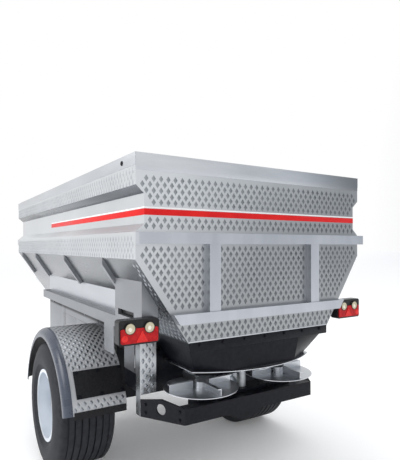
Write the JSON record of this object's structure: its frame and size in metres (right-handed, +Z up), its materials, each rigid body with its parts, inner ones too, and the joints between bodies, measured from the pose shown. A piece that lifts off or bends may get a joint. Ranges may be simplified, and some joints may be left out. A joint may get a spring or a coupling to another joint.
{
  "type": "towed salt spreader",
  "caption": "Towed salt spreader: hollow sheet-metal hopper on one axle, with a screw in its trough, spreading discs at the rear, mudguards, tail lamps, drawbar with tow eye and parking jack.",
  "frame": {"origin": "on the ground, below the middle of the whole machine's length and width", "axes": "+X to the machine's right, +Y forward towards the tow eye, +Z up"},
  "size_m": [2.109, 4.73, 2.166],
  "materials": {
    "embossed_steel": "embossed bright sheet",
    "plain_steel": "brushed bright sheet",
    "dark_steel": "satin black paint",
    "grey_steel": "galvanised grey",
    "rim_paint": "silver paint",
    "tyre_rubber": "matt rubber",
    "rubber": "matt rubber",
    "black_plastic": "satin moulding",
    "clear_lens": "ribbed lens",
    "red_lens": "ribbed lens",
    "screw_steel": "worn bright steel"
  },
  "bodies": {
    "chassis": {"side_wall_left": "embossed_steel", "side_wall_right": "embossed_steel", "rear_wall": "embossed_steel", "front_wall": "embossed_steel", "mudguard_left": "embossed_steel", "mudguard_right": "embossed_steel", "rear_legs": "embossed_steel", "slope_left": "plain_steel", "slope_right": "plain_steel", "floor_panels": "plain_steel", "trough": "plain_steel", "rear_cross_bars": "plain_steel", "rear_uprights": "plain_steel", "front_cross_bars": "plain_steel", "side_ribs": "plain_steel", "side_rails": "plain_steel", "skirt_panels": "plain_steel", "lower_panels": "plain_steel", "rear_column_left": "plain_steel", "rear_column_right": "plain_steel", "screw_hood": "plain_steel", "side_rods": "plain_steel", "metering_rim": "plain_steel", "lamp_brackets": "plain_steel", "beam_left": "dark_steel", "beam_right": "dark_steel", "cross_members": "dark_steel", "outriggers": "dark_steel", "axle_beam": "dark_steel", "axle_hangers": "dark_steel", "metering_box": "dark_steel", "spinner_gearbox": "dark_steel", "rear_bar": "dark_steel", "rear_arms": "dark_steel", "drawbar": "dark_steel", "drive_gearbox": "dark_steel", "guard_brackets": "dark_steel", "screw_bearing": "dark_steel", "side_blocks": "dark_steel", "centre_tube": "grey_steel", "tow_eye": "grey_steel", "jack_sleeve": "grey_steel", "flap_strips": "rubber", "flap_panels": "black_plastic", "lamp_housing_left": "black_plastic", "lamp_housing_right": "black_plastic", "lamp_round_lenses": "clear_lens", "lamp_red_lenses": "red_lens"},
    "wheel_left": {"tyre_left": "tyre_rubber", "rim_left": "rim_paint"},
    "wheel_right": {"tyre_right": "tyre_rubber", "rim_right": "rim_paint"},
    "disc_left": {"disc_left": "plain_steel"},
    "disc_right": {"disc_right": "plain_steel"},
    "screw": {"screw_shaft": "screw_steel", "screw_flight": "screw_steel"},
    "jack_leg": {"jack_leg": "grey_steel"}
  },
  "joints": [
    {"name": "wheel_left_spin", "type": "hinge", "parent": "chassis", "child": "wheel_left", "pos_m": [-0.835, -0.968, 0.465], "axis": [1, 0, 0], "continuous": true},
    {"name": "wheel_right_spin", "type": "hinge", "parent": "chassis", "child": "wheel_right", "pos_m": [0.835, -0.968, 0.465], "axis": [1, 0, 0], "continuous": true},
    {"name": "disc_left_spin", "type": "hinge", "parent": "chassis", "child": "disc_left", "pos_m": [-0.32, -2.07, 0.785], "axis": [0, 0, 1], "continuous": true},
    {"name": "disc_right_spin", "type": "hinge", "parent": "chassis", "child": "disc_right", "pos_m": [0.32, -2.07, 0.785], "axis": [0, 0, 1], "continuous": true},
    {"name": "screw_spin", "type": "hinge", "parent": "chassis", "child": "screw", "pos_m": [0, -0.815, 1.03], "axis": [0, 1, 0], "continuous": true},
    {"name": "jack_slide", "type": "slide", "parent": "chassis", "child": "jack_leg", "axis": [0, 0, 1], "range_m": [0, 0.35]}
  ]
}
